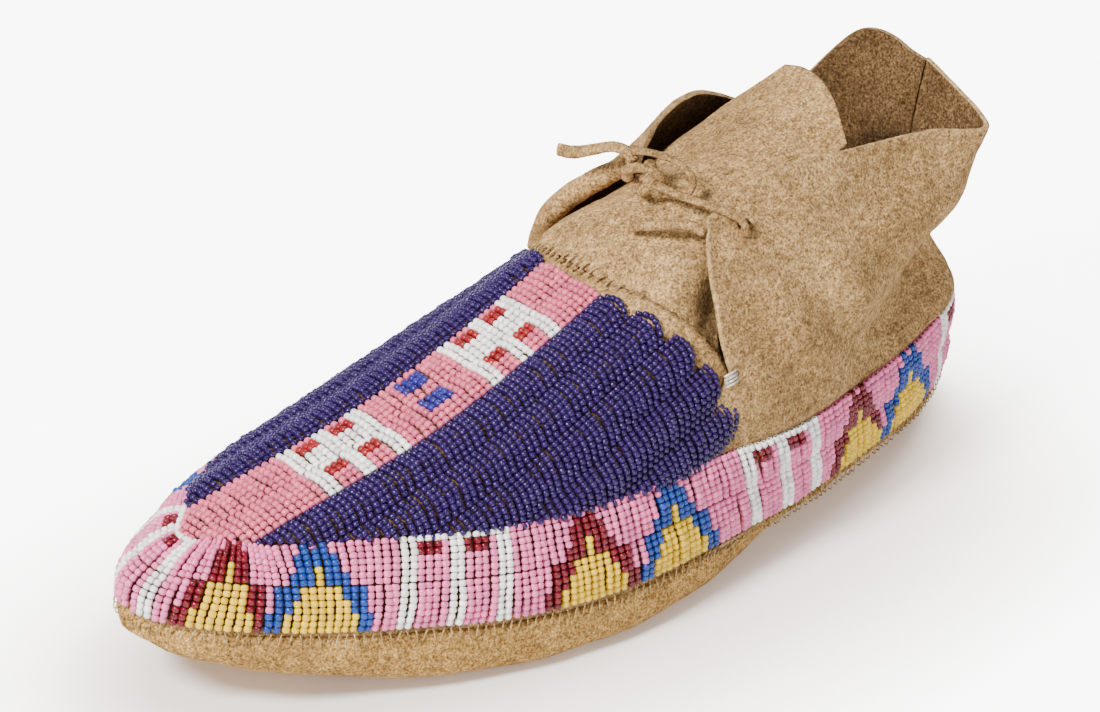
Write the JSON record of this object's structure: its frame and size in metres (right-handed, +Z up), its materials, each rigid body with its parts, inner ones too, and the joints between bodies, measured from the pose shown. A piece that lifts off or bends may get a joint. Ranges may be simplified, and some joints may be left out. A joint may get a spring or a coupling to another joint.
{
  "type": "moccasin",
  "caption": "Low ankle moccasin of soft hide on a rawhide sole, with beadwork over the vamp and round the side, a tongue, folding ankle flaps and a thong tie.",
  "frame": {"origin": "on the floor, under the middle of the shoe length, on the line of the sole under the ankle", "axes": "+Z up, -Y towards the toe tip, +Y towards the heel, +X towards the outer side of the foot (a left shoe)"},
  "size_m": [0.1031, 0.2705, 0.1046],
  "materials": {
    "hide": "suede, mottled",
    "rawhide": "fuzzy golden rawhide",
    "thong": "matt thong",
    "sinew": "matt thread",
    "pink_beads": "glossy opaque glass seed beads",
    "blue_beads": "glossy dark glass seed beads"
  },
  "bodies": {
    "shoe": {"rawhide_sole": "rawhide", "vamp_hide": "hide", "outer_quarter": "hide", "inner_quarter": "hide", "tongue_base": "hide", "band_lower_lane": "pink_beads", "band_upper_lane": "pink_beads", "stripe_outer_lane": "pink_beads", "stripe_inner_lane": "pink_beads", "field_outer_lane_1": "blue_beads", "field_outer_lane_2": "blue_beads", "field_outer_lane_3": "blue_beads", "field_outer_lane_4": "blue_beads", "field_outer_lane_5": "blue_beads", "field_inner_lane_1": "blue_beads", "field_inner_lane_2": "blue_beads", "field_inner_lane_3": "blue_beads", "field_inner_lane_4": "blue_beads", "sole_seam_stitches": "sinew", "heel_seam_stitches": "sinew", "tongue_seam_stitches": "sinew", "outer_throat_stay": "sinew", "inner_throat_stay": "sinew"},
    "outer_flap": {"outer_flap": "hide", "thong_outer_strand": "thong", "thong_outer_stopper": "thong"},
    "inner_flap": {"inner_flap": "hide", "thong_inner_strand": "thong", "thong_inner_stopper": "thong", "thong_knot": "thong"},
    "tongue": {"tongue": "hide"},
    "thong_upper_end": {"thong_upper_end": "thong"},
    "thong_lower_end": {"thong_lower_end": "thong"}
  },
  "joints": [
    {"name": "outer_flap_open", "type": "hinge", "parent": "shoe", "child": "outer_flap", "pos_m": [0.0465, 0.023, 0.057], "axis": [-0.1849, 0.9293, 0.3198], "range_deg": [0, 60]},
    {"name": "inner_flap_open", "type": "hinge", "parent": "shoe", "child": "inner_flap", "pos_m": [-0.045, 0.026, 0.057], "axis": [0.0333, 0.9536, 0.2994], "range_deg": [-60, 0]},
    {"name": "tongue_lift", "type": "hinge", "parent": "shoe", "child": "tongue", "pos_m": [0, 0.019, 0.0835], "axis": [1, 0, 0], "range_deg": [0, 24]},
    {"name": "thong_upper_end_swing", "type": "hinge", "parent": "inner_flap", "child": "thong_upper_end", "pos_m": [-0.003, 0.031, 0.097], "axis": [0, 0, 1], "range_deg": [-10, 40]},
    {"name": "thong_lower_end_swing", "type": "hinge", "parent": "outer_flap", "child": "thong_lower_end", "pos_m": [0.0205, 0.0305, 0.0886], "axis": [0, 0, 1], "range_deg": [-6, 15]}
  ],
  "couplings": [
    {"joint": "inner_flap_open", "follows": "outer_flap_open", "ratio": -1},
    {"joint": "tongue_lift", "follows": "outer_flap_open", "ratio": 0.4}
  ]
}
